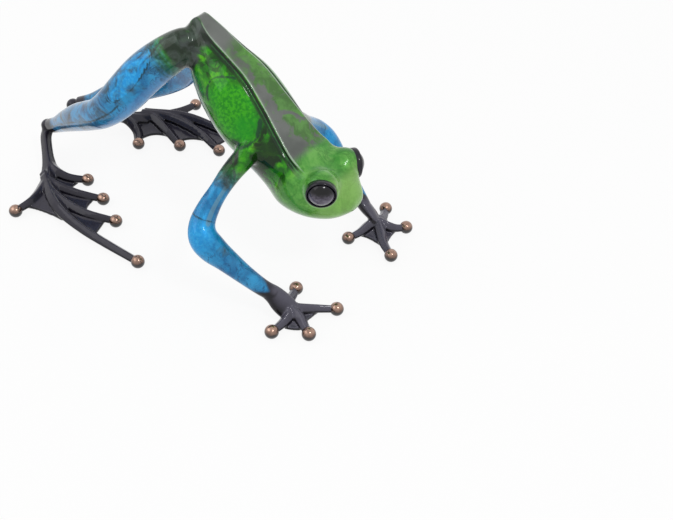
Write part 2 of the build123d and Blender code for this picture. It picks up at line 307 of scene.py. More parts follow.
# %% Limb rails
arm_stations = [
    (0.267, -0.385, 0.572, 0.80, 0.85),
    (0.402, -0.365, 0.519, 0.76, 0.78),
    (0.512, -0.355, 0.469, 0.70, 0.70),
    (0.610, -0.350, 0.422, 0.80, 0.76),
    (0.692, -0.357, 0.377, 0.93, 0.90),
    (0.731, -0.383, 0.335, 1.06, 1.06),
    (0.732, -0.422, 0.292, 1.05, 1.06),
    (0.710, -0.475, 0.247, 0.88, 0.92),
    (0.678, -0.553, 0.189, 0.72, 0.80),
    (0.643, -0.626, 0.137, 0.63, 0.70),
    (0.614, -0.676, 0.106, 0.60, 0.62),
]
arm_sways = [(-0.036, 0.0, 0.0), (-0.056, 0.003, 0.007), (0.006, 0.015, 0.0)]
arm_size = (12.4 * MM, 10.8 * MM)
leg_stations = [
    (0.075, 0.000, 0.890, 0.61, 0.71),
    (0.120, 0.051, 0.860, 0.86, 0.86),
    (0.194, 0.118, 0.802, 0.97, 0.95),
    (0.264, 0.190, 0.726, 1.00, 1.00),
    (0.330, 0.256, 0.638, 0.97, 0.98),
    (0.372, 0.323, 0.556, 0.86, 0.90),
    (0.374, 0.408, 0.484, 0.72, 0.82),
    (0.334, 0.507, 0.428, 0.70, 0.82),
    (0.288, 0.610, 0.372, 0.68, 0.78),
    (0.236, 0.733, 0.298, 0.56, 0.64),
    (0.186, 0.846, 0.226, 0.41, 0.49),
    (0.157, 0.930, 0.182, 0.39, 0.43),
]
leg_sways = [(-0.020, 0.0, 0.0), (-0.060, -0.002, -0.019), (-0.062, -0.002, 0.014)]
leg_size = (17.6 * MM, 19.2 * MM)
rail_steps = 5


def rail(side, stations, sways):
    """Points of a limb's rail with its two cross sizes."""
    table = blend_sways(sways, len(stations))
    rows = [(*spot(side, station, sway), *station[3:5]) for station, sway in zip(stations, table)]
    return through(rows, rail_steps)


def frames(points, up):
    """The way, across and up of each point of a rail."""
    ways = np.gradient(points, axis=0)
    ways /= lengths(ways)[:, None]
    across = np.cross(ways, up)
    across /= lengths(across)[:, None]
    return ways, across, np.cross(across, ways)


def bend_normal(points):
    """The direction square to a bent limb."""
    mid = points[len(points) // 2]
    normal = np.cross(mid - points[0], points[-1] - mid)
    return normal / np.linalg.norm(normal)


def limb(name, rows, up, size, shape, count=32):
    """A loft of shaped rings square to a rail."""
    points = rows[:, :3]
    ways, across, high = frames(points, up)
    x, z = shape(np.arange(count) * 2 * np.pi / count)
    rings = []
    for i in range(len(rows)):
        half = rows[i, 3:5] * np.array(size) / 2
        ring = points[i] + np.outer(x * half[0], across[i]) + np.outer(z * half[1], high[i])
        rings.append([Vector(p) for p in ring])
    return loft(name, rings)


def oval(turns):
    """A plain elliptic section."""
    return np.cos(turns), np.sin(turns)


rails = {}
for side in sides:
    arm = rail(side, arm_stations, arm_sways)
    leg = rail(side, leg_stations, leg_sways)
    rails[side, "arm"] = (arm, bend_normal(arm[::rail_steps, :3]), arm_size)
    rails[side, "leg"] = (leg, bend_normal(leg[::rail_steps, :3]), leg_size)
    inside = [[*(2 * arm[0, :3] - arm[rail_steps, :3] + (0, 0, 2 * MM)), 0.5, 0.5]]
    rooted = through(np.vstack([inside, arm[::rail_steps]]), rail_steps)
    forms.append(limb(f"{side}_arm_form", rooted, rails[side, "arm"][1], arm_size, oval))
    forms.append(limb(f"{side}_leg_form", leg, rails[side, "leg"][1], leg_size, oval))
print("limb rails:", {key: len(value[0]) for key, value in rails.items()})

# %% [markdown]
# ## Hands and feet
# A finger or toe is a small tent: a ridge runs along its top down to the
# ball, with two sloping sides. The webs are thin sheets hung between two
# ridges, with a hollow free edge. Each sheet starts as a flat grid whose
# points are then laid between the two digits, and gets its thickness.

# %% Digits, webs, palms and ankles
finger_lines = [
    [(0.590, -0.735, 0.062), (0.540, -0.724, 0.046), (0.455, -0.712, 0.033), (0.351, -0.690, 0.027)],
    [(0.588, -0.755, 0.062), (0.530, -0.798, 0.044), (0.448, -0.848, 0.032), (0.365, -0.920, 0.027)],
    [(0.600, -0.760, 0.062), (0.615, -0.812, 0.044), (0.650, -0.848, 0.032), (0.705, -0.889, 0.027)],
    [(0.605, -0.742, 0.062), (0.645, -0.762, 0.046), (0.715, -0.760, 0.034), (0.824, -0.740, 0.027)],
]
finger_notches = [(0.461, -0.752), (0.581, -0.846), (0.694, -0.822)]
finger_sways = [(0.005, 0.004), (0.022, 0.000), (0.039, 0.022), (0.019, 0.033)]
toe_lines = [
    [(0.385, 0.852, 0.066), (0.440, 0.790, 0.060), (0.410, 0.705, 0.040), (0.312, 0.630, 0.027)],
    [(0.500, 0.800, 0.060), (0.590, 0.720, 0.054), (0.545, 0.590, 0.037), (0.461, 0.454, 0.027)],
    [(0.560, 0.785, 0.066), (0.680, 0.640, 0.054), (0.690, 0.450, 0.038), (0.605, 0.274, 0.027)],
    [(0.590, 0.770, 0.066), (0.772, 0.570, 0.056), (0.836, 0.350, 0.040), (0.846, 0.009, 0.027)],
    [(0.455, 0.800, 0.054), (0.660, 0.712, 0.050), (0.825, 0.682, 0.038), (1.000, 0.681, 0.027)],
]
toe_notches = [(0.484, 0.640), (0.618, 0.462), (0.772, 0.305), (0.848, 0.580)]
toe_sways = [(-0.033, 0.008), (0.013, 0.002), (0.019, -0.010), (0.017, 0.010), (0.033, -0.035)]
digit_swell = (0.90, 1.14, 0.98, 0.80)
digit_sway = (0.5, 0.6, 0.7, 1.0)
digit_steps = 6
web_floor = 0.9 * MM


def tent(turns):
    """A section with a ridge on top, sloping sides and a rounded foot."""
    x = np.cos(turns)
    z = np.where(np.sin(turns) > 0, 1.15 * (1 - np.abs(x) ** 1.25), -0.85 * (1 - np.abs(x) ** 2.5) ** 0.5)
    return x, z


def digit_rail(side, line, sway):
    """The rail of one finger or toe, swaying more towards its ball."""
    rows = [
        (*spot(side, place, (sway[0] * part, sway[1] * part, 0)), swell, swell)
        for place, part, swell in zip(line, digit_sway, digit_swell)
    ]
    return through(rows, digit_steps)


def web(name, first, second, reach, notch, sag, thickness=1.7 * MM):
    """A sheet between two digits, with a hollow edge that passes a notch."""
    bm = bmesh.new()
    bmesh.ops.create_grid(bm, x_segments=18, y_segments=12, size=1)

    def on(row, share):
        place = share * (len(row) - 1)
        low = min(int(place), len(row) - 2)
        return row[low, :3] + (place - low) * (row[low + 1, :3] - row[low, :3])

    a, b = (on(row, share) for row, share in zip((first, second), reach))
    pull = np.array((*notch, (a[2] + b[2]) / 2)) - (a + b) / 2
    for vert in bm.verts:
        out, over = (vert.co.x + 1) / 2, (vert.co.y + 1) / 2
        hollow = 1 - (2 * over - 1) ** 2
        flat = (1 - over) * on(first, out * reach[0]) + over * on(second, out * reach[1])
        flat = flat + pull * hollow * out**2
        flat[2] = max(flat[2] - sag * hollow**0.6, web_floor + thickness)
        vert.co = flat
    under = bmesh.ops.extrude_face_region(bm, geom=bm.faces[:])["geom"]
    low = [g for g in under if isinstance(g, bmesh.types.BMVert)]
    bmesh.ops.translate(bm, verts=low, vec=(0, 0, -thickness))
    return close(name, bm)


palm_stations = [
    (0.643, -0.626, 0.137, 0.60, 0.98),
    (0.618, -0.674, 0.106, 0.78, 1.12),
    (0.616, -0.716, 0.076, 0.92, 1.00),
    (0.608, -0.758, 0.050, 0.86, 0.75),
    (0.597, -0.800, 0.036, 0.40, 0.40),
]
palm_sways = [(-0.006, 0.013, 0.001), (0.011, 0.016, 0.0), (0.018, 0.016, 0.0)]
palm_size = (11 * MM, 5.6 * MM)
tarsus_stations = [
    (0.146, 0.972, 0.155, 1.05, 1.10),
    (0.225, 0.950, 0.122, 0.90, 1.00),
    (0.350, 0.870, 0.086, 0.92, 0.95),
    (0.450, 0.806, 0.064, 1.15, 0.90),
    (0.560, 0.755, 0.046, 1.30, 0.75),
]
tarsus_sways = [(-0.060, 0.0, 0.014), (-0.030, -0.004, 0.005), (0.008, -0.010, 0.0)]
tarsus_size = (6.4 * MM, 5.6 * MM)
finger_webs = [(0.76, 0.74), (0.74, 0.74), (0.72, 0.72)]
toe_webs = [(0.88, 0.78), (0.90, 0.80), (0.90, 0.72), (0.66, 0.84)]
digits = {
    "finger": (finger_lines, finger_sways, (4.9 * MM, 4.1 * MM), finger_webs, finger_notches),
    "toe": (toe_lines, toe_sways, (5.5 * MM, 4.4 * MM), toe_webs, toe_notches),
}
web_sag, last_web_sag = 1.3 * MM, 0.5 * MM
ankle_radius = 3.6 * MM
small_forms = []
for side in sides:
    palm = rail(side, palm_stations, palm_sways)
    tarsus = rail(side, tarsus_stations, tarsus_sways)
    small_forms.append(limb(f"{side}_palm_form", palm, rails[side, "arm"][1], palm_size, oval))
    small_forms.append(limb(f"{side}_tarsus_form", tarsus, (0, 0, 1), tarsus_size, tent))
    for kind, (lines, sways, size, webs, notches) in digits.items():
        group = [digit_rail(side, line, sway) for line, sway in zip(lines, sways)]
        for i, row in enumerate(group):
            small_forms.append(limb(f"{side}_{kind}_form_{i}", row, (0, 0, 1), size, tent, 24))
        for i, (reach, notch) in enumerate(zip(webs, notches)):
            shift = [0.3 * (a + b) for a, b in zip(sways[i], sways[i + 1])]
            place = spot(side, (*notch, 0), (*shift, 0))[:2]
            sag = last_web_sag if (kind, i) == ("toe", 3) else web_sag
            small_forms.append(web(f"{side}_{kind}_web_{i}", group[i], group[i + 1], reach, place, sag))
    ankle = spot(side, (0.146, 0.972, 0.163), tarsus_sways[0])
    small_forms.append(ball_form(f"{side}_ankle_form", ankle, ankle_radius, 24, 16))
print("small forms:", len(small_forms))

# %% [markdown]
# ## One skin
# All forms are joined and remeshed on a fine grid of voxels, which fuses
# them as the metal is. Every form was closed, so the fused skin is too.

# %% Fuse the forms
voxel = 0.42 * MM
bm = bmesh.new()
for form in forms + small_forms:
    bm.from_mesh(form.data)
    bpy.data.objects.remove(form)
fused = close("skin", bm)
remesh = fused.modifiers.new("fuse", "REMESH")
remesh.mode = "VOXEL"
remesh.voxel_size = voxel
depsgraph = bpy.context.evaluated_depsgraph_get()
skin = bpy.data.meshes.new_from_object(fused.evaluated_get(depsgraph))
bpy.data.objects.remove(fused)
print("skin has", len(skin.vertices), "points and", len(skin.polygons), "faces")

# %% [markdown]
# ## Softening
# A voxel skin has tiny steps. Moving each point towards the middle of its
# neighbours, and then a little back, takes them off and keeps the ridges.
# Where the skin turns inwards, as between a limb and the body, the points
# are moved more often, which leaves the soft fillet of wax work.

# %% Smooth the skin with its own edges
count = len(skin.vertices)
points = read(skin.vertices, "co", 3)
first, second = read(skin.edges, "vertices", 2, int).T
valence = np.bincount(first, minlength=count) + np.bincount(second, minlength=count)
step_on, step_back = 0.5, 0.5096


def spread(values):
    """The mean of each point's neighbours."""
    columns = values.T if values.ndim > 1 else values[None]
    means = [
        (np.bincount(first, column[second], count) + np.bincount(second, column[first], count)) / valence
        for column in columns
    ]
    return np.array(means).T if values.ndim > 1 else means[0]


def normals_of(co):
    """Point normals of the skin for given places."""
    skin.vertices.foreach_set("co", co.ravel())
    skin.update()
    return read(skin.vertices, "normal", 3)


def relax(co, rounds):
    """Rounds of smoothing, each with a step back against shrinking."""
    for _ in range(rounds):
        co = co + step_on * (spread(co) - co)
        co = co - step_back * (spread(co) - co)
    return co


def near(spots, margin):
    """How near each point is to the spots, from 0 outside their reaches to 1."""
    found = np.zeros(count)
    for place, reach in spots:
        found = np.maximum(found, np.clip(margin - lengths(points - np.array(place)) / reach, 0, 1))
    return found


points = relax(points, 6)
hollows = dots(spread(points) - points, normals_of(points))
for _ in range(3):
    hollows = spread(hollows)
wide_spots = [(spot(side, arm_stations[0]), 15 * MM) for side in sides]
wide_spots += [(spot(side, leg_stations[0]), 17 * MM) for side in sides]
wide_spots += [(brows[side], 16 * MM) for side in sides]
wide_spots += [(spot(side, leg_stations[-1], leg_sways[-1]), 8 * MM) for side in sides]
blunt_spots = [(spot("left", body_stations[-1]), 6 * MM), (spot("left", body_stations[0]), 2.5 * MM)]
blunt_spots += [(brows[side], 9 * MM) for side in sides]
wide = near(wide_spots, 1.6)
raised = np.clip((points[:, 2] - 14 * MM) / (10 * MM), 0, 1)
fillet = np.clip(hollows / (0.005 * MM) - 0.5, 0, 1) * (0.15 + 0.45 * raised + 0.4 * wide)
for _ in range(14):
    fillet = np.maximum(fillet * (0.90 + 0.09 * wide), spread(fillet))
blunt = near(blunt_spots, 1.5)
fillet = np.maximum(fillet, blunt)
wide = np.maximum(wide, blunt)
for _ in range(200):
    points += (step_on * fillet * (0.12 + 0.88 * wide))[:, None] * (spread(points) - points)
print("softened", count, "points,", int((fillet > 0.5).sum()), "of them in hollows")

# %% [markdown]
# ## Where each point is on the frog
# Colour and carving follow the anatomy, so each point needs a place on
# it: how far down the body it is, how far over or below the ridge, and
# for the limbs how far along and on which side. These come from the same
# stations as the forms.


# %% Body places
def body_places(co):
    """Station number, share down the flank, distance past the ridge, and across."""
    best = np.full(len(co), 1e9)
    station = np.zeros(len(co))
    spacing = lengths(np.diff(body_rows[:, 1:3] * (half_stride, peak_height), axis=0))
    for i, row in enumerate(body_rows):
        centre, _, up = body_frame(row)
        off = (co - np.array(centre)) @ np.array((0, -up.z, up.y))
        nearer = np.abs(off) < best
        best[nearer] = np.abs(off[nearer])
        station[nearer] = i + off[nearer] / spacing[min(i, len(spacing) - 1)]
    station = np.clip(station, 0, len(body_rows) - 1)
    row = np.array([np.interp(station, np.arange(len(body_rows)), column) for column in body_rows.T])
    angle = np.radians(row[3])
    across = co[:, 0] - (row[0] * half_spread - middle.x)
    back_y = row[1] * half_stride - middle.y
    high = -(co[:, 1] - back_y) * np.sin(angle) + (co[:, 2] - row[2] * peak_height) * np.cos(angle)
    over = np.abs(across) - row[4] * torso_width
    down = -high / (row[9] * torso_depth)
    on_back = ramp(over, 0.6 * MM, -0.6 * MM) * ramp(high, -2.2 * MM, -0.8 * MM)
    return station / body_steps, down, np.hypot(over, high) * (1 - 2 * on_back), across


station, down, past_ridge, across = body_places(points)
print("stations run to", station.max(), "and points to", round(past_ridge.max() / MM, 1), "mm past the ridge")


# %% Limb places
def limb_places(co, key):
    """Share along a limb, its two cross shares and its distance from the rail."""
    rows, up, size = rails[key]
    ways, sideways, high = frames(rows[:, :3], up)
    nearest = np.full(len(co), 1e9)
    index = np.zeros(len(co), int)
    for i, centre in enumerate(rows[:, :3]):
        off = ((co - centre) ** 2).sum(1)
        nearer = off < nearest
        nearest[nearer] = off[nearer]
        index[nearer] = i
    gap = co - rows[index, :3]
    half = rows[index, 3:5] * np.array(size) / 2
    wide = dots(gap, sideways[index]) / half[:, 0]
    tall = dots(gap, high[index]) / half[:, 1]
    spacing = np.linalg.norm(rows[1, :3] - rows[0, :3])
    along = (index + dots(gap, ways[index]) / spacing) / (len(rows) - 1)
    return along, wide, tall, np.sqrt(nearest)


places = {key: limb_places(points, key) for key in rails}
print("limb places:", len(places))

# %% [markdown]
# ## Carving
# The sculptor cut a groove under each ridge of the back and raised the
# flank to a smooth oval. Points are moved along their normals by soft
# bumps, written as bell curves of their place.


# %% Carve grooves and bulges
on_torso = np.ones(count)
for along, wide, tall, _ in places.values():
    on_torso *= 1 - ramp(1.9 - np.hypot(wide, tall), 0, 0.5) * ramp(along, -0.02, 0.06)
on_torso = ramp(on_torso * ramp(points[:, 2], 34 * MM, 38 * MM), 0.2, 0.9)
body_span = ramp(station, 0.4, 1.6) * (1 - ramp(station, 6.2, 7.0))
groove = bell(past_ridge, 1.8 * MM, 0.8 * MM) * body_span * on_torso
ridge = bell(past_ridge, 0, 0.8 * MM) * body_span * on_torso
flank_oval = np.hypot((station - 3.6) / 1.55, (down - 0.44) / 0.36)
bulge = (1 - ramp(flank_oval, 0.4, 1.25)) * on_torso * (past_ridge > 0)
points += normals_of(points) * ((-0.75 * groove + 0.25 * ridge + 0.8 * bulge) * MM)[:, None]

# %% Seat the eyes
eye_radius = 6.0 * MM
rim_radius = 6.9 * MM
seat_reaches = (0, rim_radius - 0.7 * MM, rim_radius + 0.6 * MM, rim_radius + 4 * MM)
seat_heights = (-1.4 * MM, -0.8 * MM, 0.1 * MM, 9 * MM)


def from_eye(side):
    """The gap of each point to an eye, its part along the look and the rest."""
    look = np.array(looks[side])
    gap = points - np.array(eyes[side])
    out = gap @ look
    return gap, out, lengths(gap - np.outer(out, look))


brow_skin = np.zeros(count)
for side in sides:
    gap, out, beside = from_eye(side)
    over = np.maximum(out - np.interp(beside, seat_reaches, seat_heights), 0)
    over[(beside >= seat_reaches[-1]) | (out <= -6 * MM)] = 0
    points -= np.outer(over, looks[side])
    beyond = ramp(beside, rim_radius + 0.8 * MM, rim_radius + 1.6 * MM)
    beyond *= 1 - ramp(lengths(gap), 11 * MM, 15 * MM)
    brow_skin = np.maximum(brow_skin, beyond)
for _ in range(50):
    points += (step_on * brow_skin)[:, None] * (spread(points) - points)
points = relax(points, 2)
normals = normals_of(points)
print("carved; the skin reaches", np.round(1000 * (points.max(0) - points.min(0)), 1), "mm")

# %% [markdown]
# ## Where the colours go
# The real colours were brushed and flamed on by hand, area by area. Each
# area is a soft mask on the points of the skin, worked out from the
# places above. The material later breaks the edges up with noise.
# Some masks lay painted light instead: a painted reflection of the floor on the lower edges, and painted
# highlights on the knee fold and down the front of the upper arm.

# %% Colour masks on the points
mask = {name: np.zeros(count) for name in ("blue", "black", "knee", "facet", "bright", "halo")}
no_line = 9
hand_limit, foot_limit = -50 * MM, -10 * MM
low_limit = 24 * MM


def lay(name, values):
    """Lays an area on a mask, where it is stronger than what is there."""
    mask[name] = np.maximum(mask[name], values)


def draw(values):
    """Adds a line to the mask of lines, which is 0 along them."""
    mask["line"] = np.minimum(mask["line"], values)


# The flank: its oval with a line round it, and what lies beside it
oval_gap = np.hypot((station - 3.52) / 1.12, (down - 0.30) / 0.29)
ends = np.abs(down - 0.30) * 9 - np.abs(station - 3.52) * 2.6
faded = 3 * ramp(down, 0.5, 0.7) + 2.2 * ramp(ends, 0.2, 1.2)
mask["line"] = np.where(past_ridge > -1 * MM, np.abs(oval_gap - 1) * 9, no_line) + faded
mask["glow"] = (1 - ramp(oval_gap, 0.55, 1.25)) * on_torso
mask["dusk"] = (1 - ramp(station, 0.9, 1.9)) * ramp(past_ridge, -0.5 * MM, 0.5 * MM)
mask["dusk"] *= 1 - 0.6 * ramp(down, 0.3, 0.6)
# A painted reflection of the white floor, pale along the lower edge of the torso
mask["pale"] = ramp(down, 0.55, 0.85) * on_torso * (1 - ramp(station, 5.2, 6.2))
mask["shade"] = 1.15 * bell(station, 5.25, 0.75) * ramp(past_ridge, 1 * MM, 3 * MM) * on_torso

for side, hand in sides.items():
    # The leg: blue with a bright oval on the thigh, and a low line
    along, wide, tall, gap = places[side, "leg"]
    turn = np.degrees(np.arctan2(wide, tall * hand))
    member = ramp(1.75 - np.hypot(wide, tall), 0, 0.4) * ramp(along, 0.02, 0.05)
    member *= points[:, 1] > -2 * MM
    off_member = no_line * (1 - member)
    lay("blue", member * ramp(along, 0.08, 0.27))
    lay("black", member * ramp(along, 0.90, 0.97))
    lay("dusk", member * (1 - ramp(along + 0.05 * ramp(turn, 20, 70), 0.10, 0.20)))
    thigh = np.hypot((along - 0.295) / 0.115, (turn - 48 - 90 * (along - 0.29)) / 36)
    lay("bright", (1 - ramp(thigh, 0.9, 1.02)) * member)
    draw(np.abs(thigh - 1) * 7.5 + off_member)
    low_line = np.interp(along, (0.30, 0.42, 0.64, 0.9), (84, 92, 76, 66))
    draw(np.abs(turn - low_line) * 0.11 + 12 * ramp(0.36 - along, 0, 0.05) + off_member)
    # A painted highlight along the fold where the thigh meets the shank, on its front
    front = ramp(turn, -30, 20) * (1 - ramp(turn, 95, 125))
    lay("knee", 0.7 * member * bell(along, 0.462, 0.010) * front)
    # A painted reflection of the white floor on the leg's lower side
    lay("pale", member * ramp(turn, 92, 125) * 0.8)
    hip = lengths(points - np.array(spot(side, leg_stations[1])))
    hip = (1 - ramp(hip, 9 * MM, 15 * MM)) * (along < 0.2)
    lay("dusk", 0.85 * hip * (past_ridge > 0.5 * MM))
    # The arm: dusky root, a pale painted highlight down its front to the elbow, one line round it
    along, wide, tall, gap = places[side, "arm"]
    turn = np.degrees(np.arctan2(wide, -tall * hand))
    bend = np.radians(turn)
    member = ramp(1.5 - np.hypot(wide, tall), 0, 0.25) * ramp(along, 0.0, 0.04)
    lay("blue", member * ramp(along, 0.0, 0.28))
    lay("black", member * ramp(along + 0.08 * np.abs(np.sin(bend)), 0.90, 1.0))
    lay("dusk", 0.5 * member * bell(along, 0.66, 0.05) * bell(turn, -25, 40))
    lay("dusk", 0.55 * member * (1 - ramp(along, 0.12, 0.30)))
    # The painted highlight runs along the front of the upper arm, from the shoulder to the elbow
    upper_arm = ramp(along, 0.02, 0.08) * (1 - ramp(along, 0.38, 0.46))
    lay("facet", member * bell(turn, -17, 14) * upper_arm)
    arm_ring = np.abs(along - 0.36 - 0.02 * np.cos(bend)) * 68 + 0.22
    draw(arm_ring + no_line * (1 - member))
    lay("bright", member * bell(along, 0.47, 0.10) * ramp(turn, -120, -20) * 0.8)
    # The halo below the eye's ring
    gap, out, beside = from_eye(side)
    below = (out > -4 * MM) * (1 - ramp(gap[:, 2], 0, 4 * MM))
    lay("halo", bell(beside, rim_radius + 0.7 * MM, 0.45 * MM) * below)

# Hands and feet are all that is low, but for the ends of the limbs
low_forms = points[:, 2] < low_limit
feet = low_forms & (points[:, 1] > foot_limit)
hands = low_forms & (points[:, 1] < hand_limit)
for (side, part), (along, wide, tall, gap) in places.items():
    area, end, reach = (feet, 0.97, 9 * MM) if part == "leg" else (hands, 0.96, 8 * MM)
    area &= ~((np.hypot(wide, tall) < 1.5) & (along < end) & (gap < reach))
lay("black", (feet | hands).astype(float))
# The hands' mask serves only the painted reflection on their upper facets
mask["hand"] = hands.astype(float)
for name, rounds in (("black", 3), ("hand", 14)):
    for _ in range(rounds):
        mask[name] = spread(mask[name])

# Plain measures that the material reads as they are
mask["back"] = ramp(past_ridge, 0.5 * MM, -0.5 * MM) * on_torso
mask["past"] = np.where(on_torso > 0.5, np.clip(past_ridge / MM, -20, 20), 20)
mask["station"] = station
mask["across"] = across / MM
mask["top"] = np.clip(normals[:, 2], -1, 1)
mask["down"] = np.clip(down, -1, 3)
print({name: (round(float(v.min()), 2), round(float(v.max()), 2)) for name, v in mask.items()})

# %% [markdown]
# ## Cutting the skin into castings
# The figure is cast in sections and welded. The skin is cut square
# through each limb where its section ends, and each open end is closed.
# The points keep the normals they had before the cut, so that the
# dressed joints don't show, as on the real figure.


# %% Cut planes
def cut_plane(key, at):
    """A point and a direction square to a limb, at a share of its length."""
    rows = rails[key][0]
    i = round(at * (len(rows) - 1))
    way = rows[min(i + 2, len(rows) - 1), :3] - rows[max(i - 2, 0), :3]
    return rows[i, :3], way / np.linalg.norm(way)


cut_shares = {"shoulder": ("arm", 0.10), "wrist": ("arm", 0.96)}
cut_shares |= {"hip": ("leg", 1 / 11), "ankle": ("leg", 0.985)}
cuts = {
    (side, joint): cut_plane((side, part), share)
    for side in sides
    for joint, (part, share) in cut_shares.items()
}
castings = ["torso"] + [f"{side}_{part}" for side in sides for part in ("arm", "hand", "leg", "foot")]
seam_shift = 0.6 * MM


def casting_of(co):
    """The number of the casting that each place belongs to."""
    found = np.zeros(len(co), int)

    def beyond(key):
        point, way = cuts[key]
        return (co - point) @ way > 0

    for side, hand in sides.items():
        mine = (co[:, 0] + middle.x + seam_shift) * hand > 0
        arm = limb_places(co, (side, "arm"))
        leg = limb_places(co, (side, "leg"))
        near_arm = (np.hypot(arm[1], arm[2]) < 1.8) & (arm[3] < 12 * MM)
        near_leg = (np.hypot(leg[1], leg[2]) < 1.6) & (leg[3] < 16 * MM)
        start = castings.index(f"{side}_arm")
        is_arm = mine & near_arm & beyond((side, "shoulder"))
        is_hand = mine & (co[:, 1] < hand_limit) & (co[:, 2] < low_limit) & beyond((side, "wrist"))
        is_leg = mine & near_leg & beyond((side, "hip"))
        is_foot = mine & (co[:, 1] > foot_limit) & (co[:, 2] < 30 * MM)
        is_foot &= beyond((side, "ankle")) | ~near_leg
        found[is_leg] = start + 2
        found[is_foot] = start + 3
        found[is_arm] = start
        found[is_hand] = start + 1
    return found


# %% Cut, part and close
leave(skin, "kept_normal", normals.ravel(), "FLOAT_VECTOR", "vector")
for name, values in mask.items():
    leave(skin, name, values)
bm = bmesh.new()
bm.from_mesh(skin)
for (side, joint), (point, way) in cuts.items():
    reach = 13 * MM if joint in ("shoulder", "hip") else 8 * MM
    centre = Vector(point)
    faces = [f for f in bm.faces if (f.calc_center_median() - centre).length < reach]
    geom = list({v for f in faces for v in f.verts}) + list({e for f in faces for e in f.edges}) + faces
    bmesh.ops.bisect_plane(bm, geom=geom, dist=1e-7, plane_co=centre, plane_no=Vector(way))
bm.to_mesh(skin)
bm.free()
owner = casting_of(read(skin.polygons, "center", 3))
print("faces of each casting:", dict(zip(castings, np.bincount(owner).tolist())))


def closed_casting(piece):
    """Closes the cut ends of a casting and gives it back its old normals."""
    mesh = piece.data
    bm = bmesh.new()
    bm.from_mesh(mesh)
    outside = len(bm.faces)
    bmesh.ops.holes_fill(bm, edges=[e for e in bm.edges if e.is_boundary])
    bm.to_mesh(mesh)
    bm.free()
    kept = read(mesh.attributes["kept_normal"].data, "vector", 3)
    corner_normals = kept[read(mesh.loops, "vertex_index", kind=int)]
    for face in mesh.polygons[outside:]:
        corner_normals[face.loop_start : face.loop_start + face.loop_total] = face.normal
    smooth(mesh)
    mesh.normals_split_custom_set(corner_normals)


whole = add("whole", skin)
for name in castings:
    skin.materials.append(bpy.data.materials.new(f"cut_{name}"))
skin.polygons.foreach_set("material_index", owner)
bpy.context.view_layer.objects.active = whole
for obj in bpy.context.selected_objects:
    obj.select_set(False)
whole.select_set(True)
bpy.ops.object.mode_set(mode="EDIT")
bpy.ops.mesh.select_all(action="SELECT")
bpy.ops.mesh.separate(type="MATERIAL")
bpy.ops.object.mode_set(mode="OBJECT")
cut_pieces = {obj.data.materials[0].name[4:]: obj for obj in bpy.context.selected_objects}
print("cut into", sorted(cut_pieces))

nodes_for = {"torso": ("torso_casting", "core_plug")}
slots_for = {"torso": "green_patina"}
for name in castings[1:]:
    nodes_for[name] = (name.replace("leg", "hind_leg"),)
    slots_for[name] = "blue_patina" if name.endswith(("arm", "leg")) else "black_patina"
metal_pieces = {}
for name in castings:
    piece = cut_pieces[name]
    piece.name = f"{name}_skin"
    closed_casting(piece)
    piece.data.materials.clear()
    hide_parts(*nodes_for[name])
    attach(piece, "root")
    metal_pieces[name] = piece
    print(piece.name, "has", len(piece.data.polygons), "faces")

# %% [markdown]
# ## Balls under the digits
# Each digit ends in a small ball that stands on the ground. The lowest
# point of each ball is rubbed flat.

# %% Ball tips
ball_pieces = []
for side in sides:
    for kind, (lines, sways, *_) in digits.items():
        bm = bmesh.new()
        for line, sway in zip(lines, sways):
            place = spot(side, (*line[-1][:2], 0), (*sway, 0))
            place.z = tip_height
            ball = bmesh.ops.create_icosphere(bm, subdivisions=4, radius=tip_radius)["verts"]
            bmesh.ops.translate(bm, verts=ball, vec=place)
        up = [vert.co.z / tip_height - 1 for vert in bm.verts]
        for vert in bm.verts:
            vert.co.z = max(vert.co.z, 0)
        piece = close(f"{side}_{kind}_balls", bm)
        leave(piece.data, "up", up)
        smooth(piece.data)
        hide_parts(f"{side}_{kind}_tips")
        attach(piece, "root")
        ball_pieces.append(piece)
print("balls:", len(ball_pieces), "groups")

# %% [markdown]
# ## Eyes
# An eye is a low glossy dome in a raised ring. Both are turned shapes:
# half a profile, spun round the line in which the eye looks.


# %% Turned eyes and rims
def turned(name, profile, side):
    """A profile of radius and height spun about the eye's line of sight."""
    bm = bmesh.new()
    verts = [bm.verts.new((radius, 0, height)) for radius, height in profile]
    edges = [bm.edges.new(pair) for pair in zip(verts, verts[1:])]
    if profile[0][0] > 0:
        edges.append(bm.edges.new((verts[-1], verts[0])))
    axis = {"cent": (0, 0, 0), "axis": (0, 0, 1), "angle": 2 * math.pi}
    bmesh.ops.spin(bm, geom=verts + edges, **axis, steps=64, use_merge=True)
    bmesh.ops.remove_doubles(bm, verts=bm.verts, dist=1e-6)
    look = looks[side]
    turn = look.to_track_quat("Z", "Y").to_matrix().to_4x4()
    bmesh.ops.transform(bm, matrix=Matrix.Translation(eyes[side]) @ turn, verts=bm.verts)
    made = close(name, bm)
    smooth(made.data)
    gaps = [v.co - eyes[side] for v in made.data.vertices]
    leave(made.data, "out", [(gap - gap.dot(look) * look).length / eye_radius for gap in gaps])
    leave(made.data, "low", [-gap.z / eye_radius for gap in gaps])
    return made


